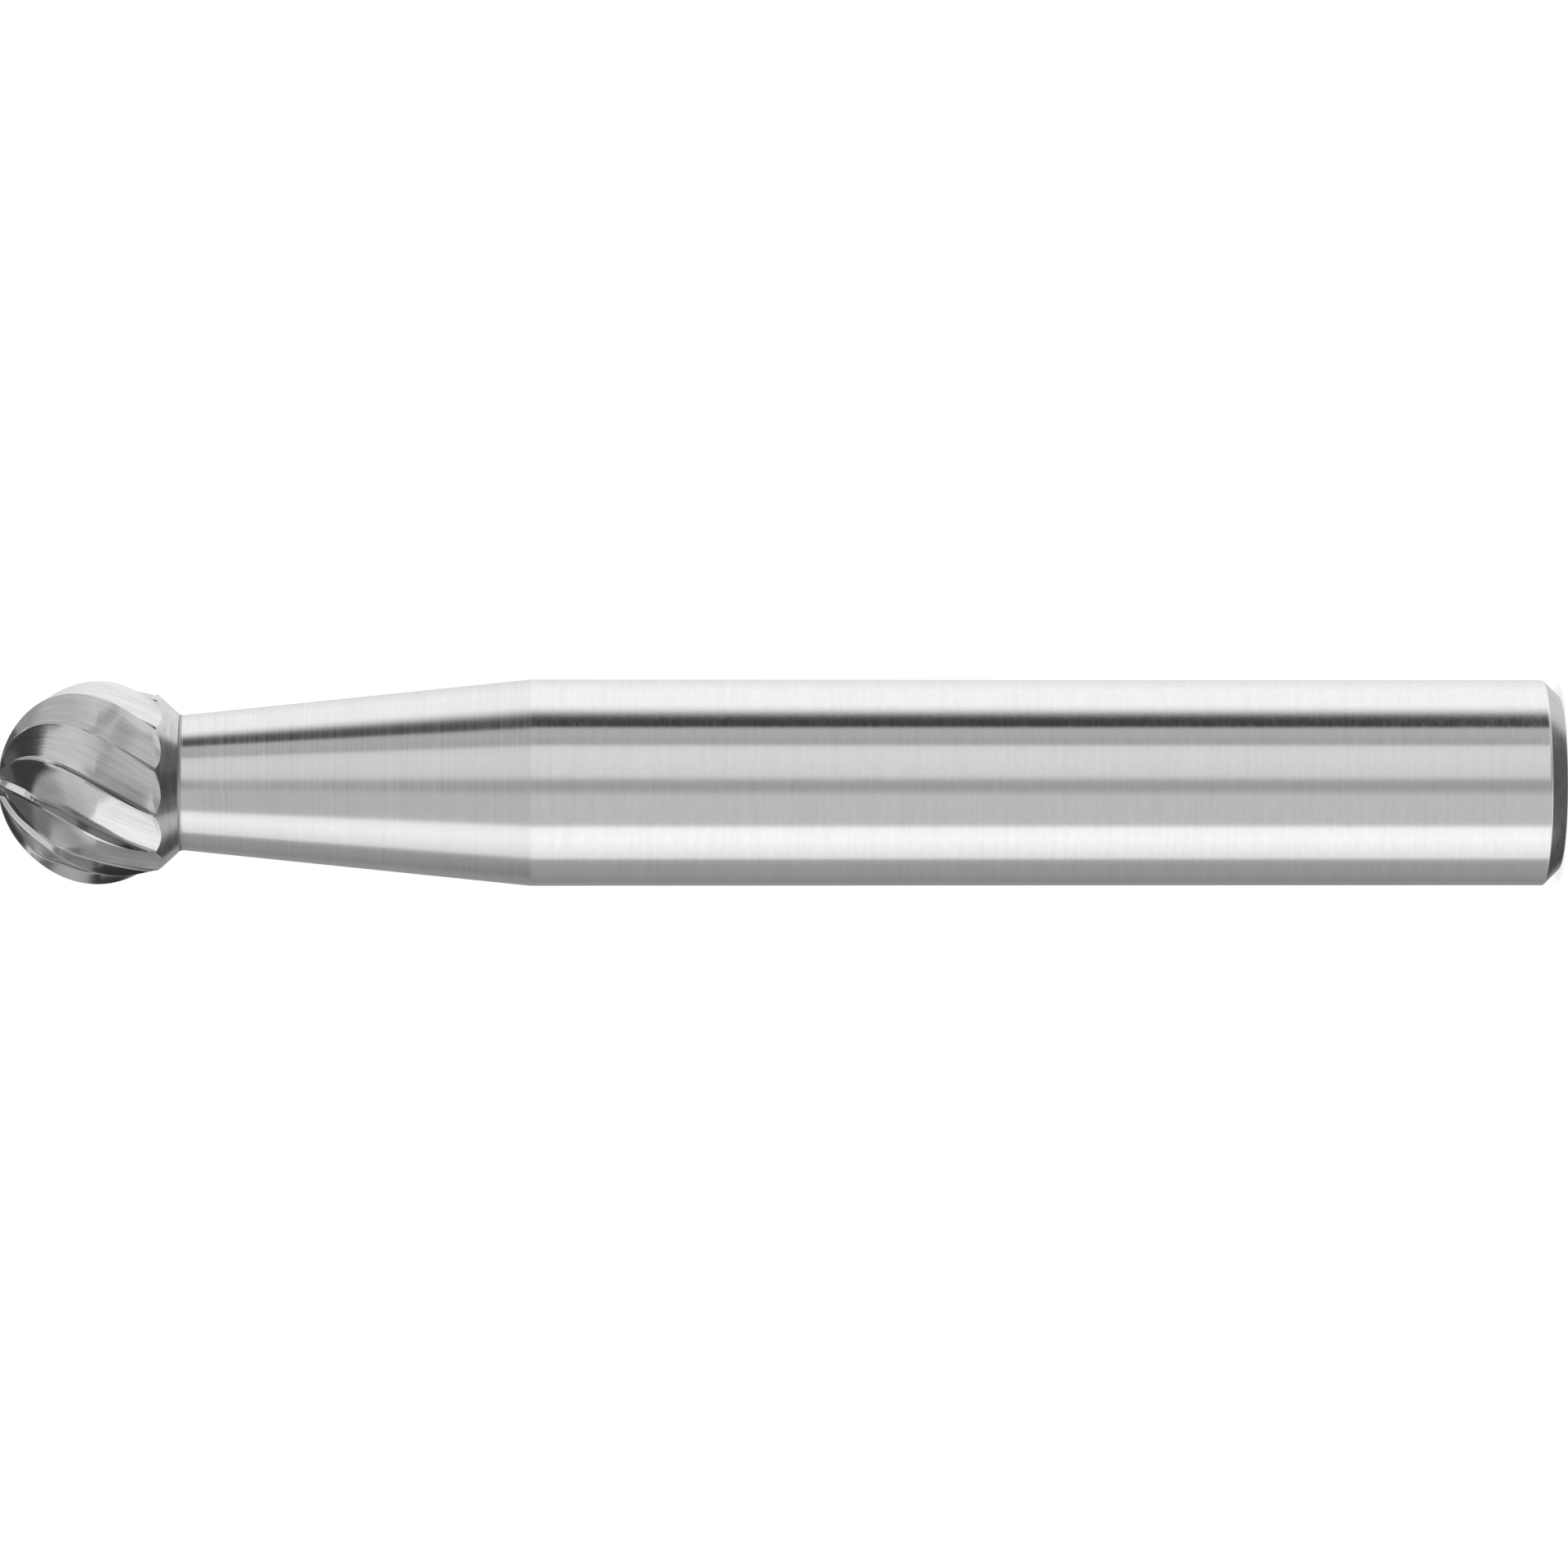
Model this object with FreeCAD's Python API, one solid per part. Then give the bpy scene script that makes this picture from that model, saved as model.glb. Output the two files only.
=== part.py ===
import FreeCAD, Part
import math
import os

# Carbide burr with a ball head, standing on the end of its shank.
# Millimetres and degrees. +Z runs along the axis from the shank's end face to the tip of the ball.
# The origin is the centre of the shank's end face. Distances along the head are counted back from its tip.

# Whole tool
overall_length = 45.45
shank_diameter = 6.0
end_bevel = 0.48

# Neck of the shank, tapered down to the head, with a small hollow corner where the two are brazed
neck_diameter = 3.90
neck_length = 10.2
neck_corner_radius = 0.30
neck_corner_length = 0.16

# Head: a ball, then a straight part that leans in towards the back, then a bevel down to the neck
head_diameter = 5.90
head_length = 5.26
back_lean = 16.0
back_bevel = 42.5

# Spiral teeth. The twist is in degrees for each millimetre along the axis, and grows towards the back
tooth_count = 12
first_tooth_turn = -64.45
twist_at_tip = 7.3
twist_growth = 0.685
tooth_depth = 0.36
tooth_land = 0.08
gullet_corner = 0.09
standing_lean = 9.0
rim_hollow = 0.09

# How the flutes begin, in degrees round the ball from its tip. All start shallow beside the tip, with a rake
# face that lies back, then stand up and deepen. Every other one, the long one, stands up later
tip_left_whole = 9.0
long_start_depth = 0.16
long_start_lean = 32.0
long_stands_up = 58.0
long_standing_run = 22.0
long_deepens = 60.0
short_start_depth = 0.11
short_start_lean = 61.0
short_stands_up = 43.0
short_standing_run = 13.0
short_deepens = 44.0
deepening_run = 28.0

# Outlines of the flutes. They start this far clear of the ball, reach this far past it on their open side,
# and run on this far behind the rim. Every back is hollowed a little, as a grinding wheel leaves it
start_clear = 0.04
open_reach = 0.3
behind_rim = 0.4
least_hollow = 0.002

# Most of a tooth's width that its land may take, and most that a leaning rake face may take
land_share = 0.3
rake_share = 0.5

# How close the outlines stand: degrees round the ball, then a count behind its widest part
ball_step = 6.0
back_steps = 5

ball_radius = head_diameter / 2
AXIS = FreeCAD.Vector(0, 0, 1)


def profile_point(distance, radius):
    """Point of a turned profile in the XZ plane, at this distance from the tip."""
    return FreeCAD.Vector(radius, 0, overall_length - distance)


def turned(edges):
    """Solid turned from a closed outline that lies against the axis."""
    return Part.Face(Part.Wire(edges)).revolve(FreeCAD.Vector(), AXIS, 360)


def neck_corner():
    """Centre of the hollow corner at the joint, as distance from the tip and radius, and its two ends."""
    lean = math.atan((shank_diameter - neck_diameter) / 2 / neck_length)
    end = head_length + neck_corner_length
    end_radius = neck_diameter / 2 + neck_corner_length * math.tan(lean)
    centre = end - neck_corner_radius * math.sin(lean)
    centre_radius = end_radius + neck_corner_radius * math.cos(lean)
    joint_radius = centre_radius - math.sqrt(neck_corner_radius ** 2 - (centre - head_length) ** 2)
    return (centre, centre_radius), (head_length, joint_radius), (end, end_radius)


def ball_end():
    """Where the ball passes smoothly into the leaning part: distance from the tip, radius."""
    lean = math.radians(back_lean)
    return ball_radius * (1 + math.sin(lean)), ball_radius * math.cos(lean)


def rim():
    """Where the leaning part meets the back bevel: distance from the tip, radius."""
    start, start_radius = ball_end()
    joint_radius = neck_corner()[1][1]
    lean_slope = math.tan(math.radians(back_lean))
    bevel_slope = math.tan(math.radians(back_bevel))
    drop = start_radius - joint_radius - bevel_slope * (head_length - start)
    length = drop / (lean_slope - bevel_slope)
    return start + length, start_radius - lean_slope * length


def blank_radius(distance):
    """Radius of the head before its teeth are ground, carried on past the rim by the leaning part's line."""
    start, start_radius = ball_end()
    if distance <= start:
        return math.sqrt(ball_radius ** 2 - (distance - ball_radius) ** 2)
    return start_radius - (distance - start) * math.tan(math.radians(back_lean))


def head_blank():
    """The head before its teeth are ground."""
    quarter = math.radians(45 + back_lean / 2)
    tip = profile_point(0, 0)
    on_ball = profile_point(ball_radius * (1 - math.cos(quarter)), ball_radius * math.sin(quarter))
    ball_back = profile_point(*ball_end())
    rim_point = profile_point(*rim())
    joint_edge = profile_point(*neck_corner()[1])
    joint_centre = profile_point(head_length, 0)
    return turned([
        Part.Arc(tip, on_ball, ball_back).toShape(),
        Part.makeLine(ball_back, rim_point),
        Part.makeLine(rim_point, joint_edge),
        Part.makeLine(joint_edge, joint_centre),
        Part.makeLine(joint_centre, tip),
    ])


def spiral_turn(distance):
    """How far a tooth has turned round the axis at this distance from the tip."""
    return twist_at_tip * distance + twist_growth * distance ** 2


def distance_at(polar):
    """Distance from the tip of the point this many degrees round the ball."""
    return ball_radius * (1 - math.cos(math.radians(polar)))


class CrossPlane:
    """Plane across a flute. On the ball it holds the ball's centre; behind the widest part it is level."""

    def __init__(self, distance, tooth):
        on_ball = distance < ball_radius
        turn = math.radians(first_tooth_turn + tooth * 360 / tooth_count - spiral_turn(distance))
        self.distance = distance
        self.polar = math.acos(1 - distance / ball_radius) if on_ball else math.pi / 2
        self.top = ball_radius if on_ball else blank_radius(distance)
        self.centre = profile_point(ball_radius if on_ball else distance, 0)
        self.side = FreeCAD.Vector(-math.sin(turn), math.cos(turn), 0)
        self.out = FreeCAD.Vector(math.cos(turn), math.sin(turn), 0) * math.sin(self.polar)
        self.out.z = math.cos(self.polar)

    def pitch(self):
        """Angle in this plane to the next tooth, which has turned a little further where the plane meets it.

        Each pass looks up how far that is, from the angle found before."""
        gap = 360 / tooth_count
        angle = math.radians(gap)
        if self.distance >= ball_radius:
            return angle
        for _ in range(3):
            angle = math.atan(math.sin(self.polar) * math.tan(math.radians(gap)))
            reached = ball_radius * (1 - math.cos(self.polar) * math.cos(angle))
            gap = 360 / tooth_count - spiral_turn(reached) + spiral_turn(self.distance)
        return angle

    def point(self, radius, angle):
        """Point at this radius, turned from the cutting edge towards the next tooth."""
        return self.centre + self.out * (radius * math.cos(angle)) + self.side * (radius * math.sin(angle))


def flute_outline(plane, depth, lean, hollow):
    """One flute cut across: rake face, gullet corner, back of the neighbouring tooth, then the open side."""
    pitch = plane.pitch()
    land = min(tooth_land, land_share * pitch * plane.top)
    lift = max(0.0, -depth)
    rake = math.radians(lean)
    up_rake = plane.out * math.cos(rake) - plane.side * math.sin(rake)
    edge = plane.point(plane.top + lift, 0)
    foot = edge - up_rake * ((depth + lift) / math.cos(rake))
    land_end = plane.point(plane.top + lift, pitch - land / plane.top)
    up_back = (land_end - foot).normalize()
    half_angle = up_rake.getAngle(up_back) / 2
    corner_start = foot + up_rake * (gullet_corner / math.tan(half_angle))
    corner_end = foot + up_back * (gullet_corner / math.tan(half_angle))
    corner_height = gullet_corner / math.sin(half_angle) - gullet_corner
    corner_middle = foot + (up_rake + up_back).normalize() * corner_height
    open_side = open_reach + plane.top * (1 / math.cos(pitch / 2) - 1)
    rake_end = edge + up_rake * (open_side / math.cos(rake))
    back_end = land_end + up_back * open_side
    inward = plane.out.cross(plane.side).cross(up_back).normalize()
    back_middle = (corner_end + back_end) * 0.5 + inward * hollow
    return Part.Wire([
        Part.makeLine(rake_end, corner_start),
        Part.Arc(corner_start, corner_middle, corner_end).toShape(),
        Part.Arc(corner_end, back_middle, back_end).toShape(),
        Part.makeLine(back_end, rake_end),
    ])


def eased(polar, start, length):
    """Smooth rise from 0 to 1 that begins this many degrees round the ball and takes this many more."""
    share = min(1.0, max(0.0, (polar - start) / length))
    return share * share * (3 - 2 * share)


def lean_on_ball(polar, is_long):
    """Lean of a flute's rake face this many degrees round the ball: laid back at first, then standing up."""
    if is_long:
        start_lean, stood_up = long_start_lean, eased(polar, long_stands_up, long_standing_run)
    else:
        start_lean, stood_up = short_start_lean, eased(polar, short_stands_up, short_standing_run)
    return start_lean + (standing_lean - start_lean) * stood_up


def depth_on_ball(plane, polar, is_long):
    """Depth of a flute this many degrees round the ball. A long one starts clear of the surface."""
    if is_long:
        start = (long_start_depth + start_clear) * eased(polar, tip_left_whole, tip_left_whole) - start_clear
        return start + (tooth_depth - long_start_depth) * eased(polar, long_deepens, deepening_run)
    deepest = rake_share * plane.pitch() * plane.top / math.tan(math.radians(short_start_lean))
    start = min(short_start_depth, deepest)
    return start + (tooth_depth - start) * eased(polar, short_deepens, deepening_run)


def flute_cutter(tooth, is_long):
    """Solid that takes out one flute, drawn smoothly through outlines along the spiral."""
    ball_steps = math.ceil((90 - tip_left_whole) / ball_step)
    outlines = []
    for step in range(ball_steps):
        polar = tip_left_whole + (90 - tip_left_whole) * step / ball_steps
        plane = CrossPlane(distance_at(polar), tooth)
        depth = depth_on_ball(plane, polar, is_long)
        outlines.append(flute_outline(plane, depth, lean_on_ball(polar, is_long), least_hollow))
    # Behind the widest part the floor runs level while the head leans in over it
    rim_distance = rim()[0]
    for step in range(back_steps + 1):
        distance = ball_radius + (rim_distance + behind_rim - ball_radius) * step / back_steps
        depth = blank_radius(distance) - ball_radius + tooth_depth
        hollow = least_hollow + rim_hollow * (distance - ball_radius) / (rim_distance - ball_radius)
        outlines.append(flute_outline(CrossPlane(distance, tooth), depth, standing_lean, hollow))
    return Part.makeLoft(outlines, True, False)


def carbide_head():
    """Ball head with its spiral teeth: flutes ground out of the blank, every other one long."""
    return head_blank().cut([flute_cutter(tooth, tooth % 2 == 0) for tooth in range(tooth_count)])


def steel_shank():
    """Bevelled end, plain shank, tapered neck and the hollow corner under the head."""
    radius = shank_diameter / 2
    (centre, centre_radius), joint, corner_end = neck_corner()
    start_angle = math.atan2(joint[1] - centre_radius, joint[0] - centre)
    end_angle = math.atan2(corner_end[1] - centre_radius, corner_end[0] - centre)
    middle_angle = (start_angle + end_angle) / 2
    corner_middle = profile_point(
        centre + neck_corner_radius * math.cos(middle_angle),
        centre_radius + neck_corner_radius * math.sin(middle_angle))
    joint_centre = profile_point(head_length, 0)
    joint_edge = profile_point(*joint)
    neck_start = profile_point(*corner_end)
    shank_top = profile_point(head_length + neck_length, radius)
    bevel_top = FreeCAD.Vector(radius, 0, end_bevel)
    end_edge = FreeCAD.Vector(radius - end_bevel, 0, 0)
    end_centre = FreeCAD.Vector(0, 0, 0)
    return turned([
        Part.makeLine(joint_centre, joint_edge),
        Part.Arc(joint_edge, corner_middle, neck_start).toShape(),
        Part.makeLine(neck_start, shank_top),
        Part.makeLine(shank_top, bevel_top),
        Part.makeLine(bevel_top, end_edge),
        Part.makeLine(end_edge, end_centre),
        Part.makeLine(end_centre, joint_centre),
    ])


def write(name, shape):
    """Save one piece, which is a single solid, under its name."""
    print(name, "solids", len(shape.Solids), "valid", shape.isValid(), "mm3", round(shape.Volume, 3))
    shape.Solids[0].exportStep(os.path.join("parts", name + ".step"))


os.makedirs("parts", exist_ok=True)
write("carbide_head", carbide_head())
write("steel_shank", steel_shank())
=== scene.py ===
import bmesh
import bpy
import math
import numpy as np
from mathutils import Matrix, Vector


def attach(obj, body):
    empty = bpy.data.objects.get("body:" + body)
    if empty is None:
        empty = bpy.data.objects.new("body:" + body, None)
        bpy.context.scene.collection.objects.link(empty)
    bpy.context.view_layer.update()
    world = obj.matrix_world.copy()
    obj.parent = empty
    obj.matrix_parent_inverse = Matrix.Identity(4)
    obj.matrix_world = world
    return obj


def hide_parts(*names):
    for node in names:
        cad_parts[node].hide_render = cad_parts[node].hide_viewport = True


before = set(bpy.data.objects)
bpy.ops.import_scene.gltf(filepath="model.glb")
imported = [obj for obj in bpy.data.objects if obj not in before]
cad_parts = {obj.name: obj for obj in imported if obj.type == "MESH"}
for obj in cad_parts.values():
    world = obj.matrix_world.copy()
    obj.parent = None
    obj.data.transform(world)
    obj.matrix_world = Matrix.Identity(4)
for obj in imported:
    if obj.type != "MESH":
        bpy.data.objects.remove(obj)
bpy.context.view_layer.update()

# Steel shank: one bar of hardened tool steel, turned and then ground round. The long part that the collet
# grips is ground finest. The neck tapers from it to the head and keeps clearer grinding lines. The bevel and
# the end face are only turned.
tool_length = 45.45
shank_radius = 3.0
end_bevel = 0.48
edge_rounding = 0.025
neck_radius = 1.95
neck_length = 10.2
neck_corner_radius = 0.30
neck_corner_length = 0.16
head_length = 5.26
joint = tool_length - head_length
# Points along the end face, the side, the neck and the hollow corner, and round the shank. The foot of the
# neck is a clean line, so the points beside it come this close
face_points = 9
side_points = 22
neck_points = 14
hollow_points = 9
beside_foot = 0.005
shank_columns = 240
mm = 0.001


def rounded_corner(before, corner, after, radius, steps=4):
    """Points of a quadratic curve across a corner, from `radius` before it to `radius` after it."""
    before, corner, after = (np.array(p, float) for p in (before, corner, after))
    start = corner + radius * (before - corner) / np.linalg.norm(before - corner)
    end = corner + radius * (after - corner) / np.linalg.norm(after - corner)
    t = np.linspace(0, 1, steps + 1)[:, None]
    return (1 - t) ** 2 * start + 2 * t * (1 - t) * corner + t ** 2 * end


def shank_profile():
    """Half section of the shank as (radius, height) from the middle of the end face up to the joint.

    The hollow corner under the head is an arc: centre + radius * (cos a, sin a), tangent to the neck's line.
    """
    lean = math.atan((shank_radius - neck_radius) / neck_length)
    corner_low = joint - neck_corner_length
    corner_low_radius = neck_radius + neck_corner_length * math.tan(lean)
    centre = np.array([
        corner_low_radius + neck_corner_radius * math.cos(lean),
        corner_low + neck_corner_radius * math.sin(lean)])
    start = math.pi + lean
    end = math.pi - math.asin((joint - centre[1]) / neck_corner_radius)
    angle = np.linspace(start, end, hollow_points)
    hollow = centre + neck_corner_radius * np.stack([np.cos(angle), np.sin(angle)], axis=1)
    face_edge = (shank_radius - end_bevel, 0)
    bevel_top = (shank_radius, end_bevel)
    neck_foot = (shank_radius, joint - neck_length)
    neck_side = np.linspace((shank_radius, neck_foot[1] + beside_foot), hollow[0], neck_points)
    neck_side[:, 0] = shank_radius - (neck_side[:, 1] - neck_foot[1]) * math.tan(lean)
    face = [(r, 0) for r in np.linspace(0, face_edge[0] - edge_rounding, face_points)[:-1]]
    side_start = end_bevel + 4 * edge_rounding
    side = [(shank_radius, z) for z in np.linspace(side_start, neck_foot[1] - beside_foot, side_points)]
    return np.vstack([
        face,
        rounded_corner((0, 0), face_edge, bevel_top, edge_rounding),
        rounded_corner(face_edge, bevel_top, neck_foot, edge_rounding),
        side,
        [neck_foot],
        neck_side,
        hollow[1:],
        [(0, joint)],
    ])


def turned_grid(profile, columns):
    """Surface of revolution: each profile point (r, z) becomes the ring (r cos a, r sin a, z)."""
    angle = np.linspace(0, 2 * math.pi, columns + 1)
    radius = profile[:, 0][:, None]
    height = np.broadcast_to(profile[:, 1][:, None], (len(profile), columns + 1))
    return np.stack([radius * np.cos(angle), radius * np.sin(angle), height], axis=2)


def piece_from_grid(name, grid, along, across, crease_degrees):
    """Closed piece from a grid of points in millimetres, rows going up and columns going round.

    Each cell of the grid is one face. The first and last columns, and the points that fall together on the
    axis or along a step, are merged. The UV map holds `across` and `along`, both in millimetres.
    """
    rows, columns = grid.shape[:2]
    index = np.arange(rows * columns).reshape(rows, columns)
    faces = np.stack([index[:-1, :-1], index[:-1, 1:], index[1:, 1:], index[1:, :-1]], axis=2).reshape(-1, 4)
    mesh = bpy.data.meshes.new(name)
    mesh.from_pydata(grid.reshape(-1, 3) * mm, [], faces.tolist())
    uv = np.stack([across.ravel(), along.ravel()], axis=1)[faces.ravel()]
    mesh.uv_layers.new(name="across_and_along").data.foreach_set("uv", uv.ravel())
    row_of_face = mesh.attributes.new("row", "INT", "FACE")
    row_of_face.data.foreach_set("value", np.repeat(np.arange(rows - 1), columns - 1))
    work = bmesh.new()
    work.from_mesh(mesh)
    bmesh.ops.remove_doubles(work, verts=work.verts, dist=1e-7)
    bmesh.ops.dissolve_degenerate(work, edges=work.edges, dist=1e-8)
    work.to_mesh(mesh)
    work.free()
    mesh.polygons.foreach_set("use_smooth", np.ones(len(mesh.polygons), bool))
    mesh.set_sharp_from_angle(angle=math.radians(crease_degrees))
    piece = bpy.data.objects.new(name, mesh)
    bpy.context.scene.collection.objects.link(piece)
    return piece


def finish_by_row(piece, finishes):
    """Gives each band of rows its finish: a list of (first row, material)."""
    mesh = piece.data
    row = np.empty(len(mesh.polygons), np.int32)
    mesh.attributes["row"].data.foreach_get("value", row)
    for first_row, material in finishes:
        mesh.materials.append(material)
    firsts = [first_row for first_row, material in finishes]
    mesh.polygons.foreach_set("material_index", np.searchsorted(firsts, row, side="right") - 1)
    mesh.attributes.remove(mesh.attributes["row"])


def add_node(material, kind, settings=None, **inputs):
    """Adds a node. An input is a number, a colour or another node's output.

    It goes to the input of its name, or to the one of its number, as in i0 or i1.
    """
    node = material.node_tree.nodes.new(kind)
    for key, value in (settings or {}).items():
        setattr(node, key, value)
    for key, value in inputs.items():
        numbered = key[0] == "i" and key[1:].isdigit()
        socket = node.inputs[int(key[1:]) if numbered else key]
        if isinstance(value, bpy.types.NodeSocket):
            material.node_tree.links.new(value, socket)
        else:
            socket.default_value = value
    return node


def streaks(material, place, stretch, detail=3.0, roughness=0.6):
    """Noise whose coordinates are stretched, so that its grains become lines. Runs from 0 to 1."""
    scaled = add_node(material, "ShaderNodeMapping", i0=place(material), i3=stretch)
    noise = add_node(
        material, "ShaderNodeTexNoise", i0=scaled.outputs[0],
        Scale=1.0, Detail=detail, Roughness=roughness)
    return noise.outputs["Fac"]


def blend(material, share, low, high):
    """Value that goes from low to high as share goes from 0.25 to 0.75, about the range of a noise."""
    return add_node(
        material, "ShaderNodeMapRange", i0=share, i1=0.25, i2=0.75, i3=low, i4=high).outputs[0]


def fade(material, value, start, end, low=0.0, high=1.0):
    """Goes smoothly from `low` to `high` as the value goes from `start` to `end`."""
    return add_node(
        material, "ShaderNodeMapRange", {"interpolation_type": "SMOOTHSTEP"},
        i0=value, i1=start, i2=end, i3=low, i4=high).outputs[0]


def ground_metal(name, colour, dark_colour, roughness, lines, line_depth, blotches, blotch_share):
    """Bare ground metal. Its lines change the height, the gloss and, a little, the colour.

    `colour` and `dark_colour` are the ends of the colour's range, and `roughness` those of the gloss's.
    `lines` and `blotches` are the two patterns, each with its coordinates and its stretch. `line_depth` is
    the height of the lines in metres, and `blotch_share` the share of the blotches in the colour.
    """
    material = bpy.data.materials.new(name)
    material.use_nodes = True
    shader = material.node_tree.nodes["Principled BSDF"]
    shader.inputs["Metallic"].default_value = 1.0
    line = streaks(material, *lines)
    blotch = streaks(material, *blotches)
    tone = add_node(
        material, "ShaderNodeMix", {"data_type": "FLOAT"}, i0=blotch_share, i2=line, i3=blotch).outputs[0]
    shade = add_node(
        material, "ShaderNodeMix", {"data_type": "RGBA"},
        i0=blend(material, tone, 0.0, 1.0), i6=(*dark_colour, 1.0), i7=(*colour, 1.0))
    material.node_tree.links.new(shade.outputs[2], shader.inputs["Base Color"])
    material.node_tree.links.new(blend(material, line, *roughness), shader.inputs["Roughness"])
    bump = add_node(
        material, "ShaderNodeBump", Strength=1.0, Distance=line_depth, Height=line)
    material.node_tree.links.new(bump.outputs[0], shader.inputs["Normal"])
    return material


def paint_shade(material, share, brightness):
    """Painted shade: leaves this part of the colour's brightness where `share` is 1, and all of it where
    `share` is 0.
    """
    colour = material.node_tree.nodes["Principled BSDF"].inputs["Base Color"]
    shaded_colour = add_node(
        material, "ShaderNodeMix", {"data_type": "RGBA", "blend_type": "MULTIPLY"},
        i0=share, i6=colour.links[0].from_socket, i7=(brightness, brightness, brightness, 1.0))
    material.node_tree.links.new(shaded_colour.outputs[2], colour)


def object_place(material):
    """Coordinates in the piece itself, in metres."""
    return add_node(material, "ShaderNodeTexCoord").outputs["Object"]


shank_ground = ground_metal(
    "ground_shank_steel",
    colour=(0.89, 0.89, 0.885), dark_colour=(0.77, 0.77, 0.765), roughness=(0.085, 0.14),
    lines=(object_place, (3500, 3500, 9000), 3.0, 0.7), line_depth=1.0e-6,
    blotches=(object_place, (400, 400, 6000)), blotch_share=0.5)
neck_ground = ground_metal(
    "ground_neck_steel",
    colour=(0.83, 0.83, 0.825), dark_colour=(0.73, 0.73, 0.725), roughness=(0.12, 0.17),
    lines=(object_place, (260, 260, 13000), 2.0, 0.5), line_depth=0.7e-6,
    blotches=(object_place, (900, 900, 900)), blotch_share=0.3)
end_turned = ground_metal(
    "turned_end_steel",
    colour=(0.70, 0.70, 0.70), dark_colour=(0.58, 0.58, 0.58), roughness=(0.20, 0.32),
    lines=(object_place, (2500, 2500, 9000)), line_depth=0.5e-6,
    blotches=(object_place, (1500, 1500, 1500)), blotch_share=0.5)
# Steel of the hollow corner under the head, whose colour is darkened with painted shade towards the joint
shaded_corner_steel = ground_metal(
    "hollow_corner_steel_painted_shade",
    colour=(0.72, 0.72, 0.715), dark_colour=(0.62, 0.62, 0.615), roughness=(0.20, 0.28),
    lines=(object_place, (900, 900, 9000), 2.0, 0.5), line_depth=0.5e-6,
    blotches=(object_place, (1500, 1500, 1500)), blotch_share=0.5)

# Painted shade in the hollow corner under the head: its colour gets darker from the first of these distances
# below the joint to the second, in millimetres
shade_below_joint = (0.13, 0.02)
corner_shade_brightness = 0.40
corner_height = add_node(shaded_corner_steel, "ShaderNodeSeparateXYZ", i0=object_place(shaded_corner_steel)).outputs["Z"]
shaded_near_joint = fade(shaded_corner_steel, corner_height, *((joint - below) * mm for below in shade_below_joint))
# Painted shade: the colour darkens in the hollow corner just under the head
paint_shade(shaded_corner_steel, shaded_near_joint, corner_shade_brightness)

profile = shank_profile()
shank_grid = turned_grid(profile, shank_columns)
profile_length = np.concatenate([[0], np.cumsum(np.linalg.norm(np.diff(profile, axis=0), axis=1))])
shank_along = np.repeat(profile_length[:, None], shank_columns + 1, axis=1)
round_shank = np.linspace(0, 2 * math.pi * shank_radius, shank_columns + 1)
shank_across = np.repeat(round_shank[None, :], len(profile), axis=0)
shank = piece_from_grid("shank", shank_grid, shank_along, shank_across, crease_degrees=30)


def first_row_above(height):
    """Number of the first row of the shank's profile above this height."""
    return int(np.argmax(profile[:, 1] > height))


hair = 0.001
finish_by_row(shank, [
    (0, end_turned),
    (first_row_above(end_bevel + 0.4 * edge_rounding) - 1, shank_ground),
    (first_row_above(joint - neck_length - hair), neck_ground),
    (first_row_above(joint - neck_corner_length + hair) + 1, shaded_corner_steel),
])
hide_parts("steel_shank")
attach(shank, "root")

# Carbide head: one piece of tungsten carbide, pressed and sintered, brazed to the end of the shank. Its
# twelve spiral flutes are ground from the solid. All start beside the tip with a rake face that lies back,
# and then stand up and deepen; every other one, the long one, stands up later.
head_radius = 2.95
joint_radius = float(profile[-2, 0])
back_lean = math.radians(16.0)
back_bevel = math.radians(42.5)
tooth_count = 12
first_tooth_turn = -64.45
twist_at_tip = 7.3
twist_growth = 0.685
tooth_depth = 0.36
tooth_land = 0.08
widest_land_share = 0.3
gullet_corner = 0.09
least_hollow = 0.002
rim_hollow = 0.09
wheel_reach = 0.3
start_clear = 0.04
standing_lean = math.radians(9.0)
tip_left_whole = 9.0
long_start_depth = 0.16
long_start_lean = math.radians(32.0)
long_stands_up = 58.0
long_standing_run = 22.0
long_deepens = 60.0
short_start_depth = 0.11
short_start_lean = math.radians(61.0)
short_stands_up = 43.0
short_standing_run = 13.0
short_deepens = 44.0
deepening_run = 28.0
gap = 360 / tooth_count
# Steps of a search by halving, and where the searches look: from this share of a back on, up to this share of
# a gullet, and from this far before the rim to this far behind it
halvings = 40
back_from = 0.4
gullet_to = 0.6
before_rim = 0.05
behind_rim = 0.4

ball_back = head_radius * (1 + math.sin(back_lean))
ball_back_radius = head_radius * math.cos(back_lean)
rim_run = (
    (ball_back_radius - joint_radius - math.tan(back_bevel) * (head_length - ball_back))
    / (math.tan(back_lean) - math.tan(back_bevel)))
rim_distance = ball_back + rim_run
rim_radius = ball_back_radius - math.tan(back_lean) * rim_run


def blank_radius(distance):
    """Radius before the teeth are cut: the ball's circle, then the straight line that leans in behind it."""
    ball = np.sqrt(np.maximum(head_radius ** 2 - (distance - head_radius) ** 2, 0))
    back = ball_back_radius - (distance - ball_back) * math.tan(back_lean)
    return np.where(distance <= ball_back, ball, back)


def bevel_radius(distance):
    """Radius of the back bevel, a cone from the rim down to the joint."""
    return rim_radius - (distance - rim_distance) * math.tan(back_bevel)


def spiral_turn(distance):
    """Turn of a tooth in degrees: it grows with the distance from the tip, faster towards the back."""
    return twist_at_tip * distance + twist_growth * distance ** 2


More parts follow.
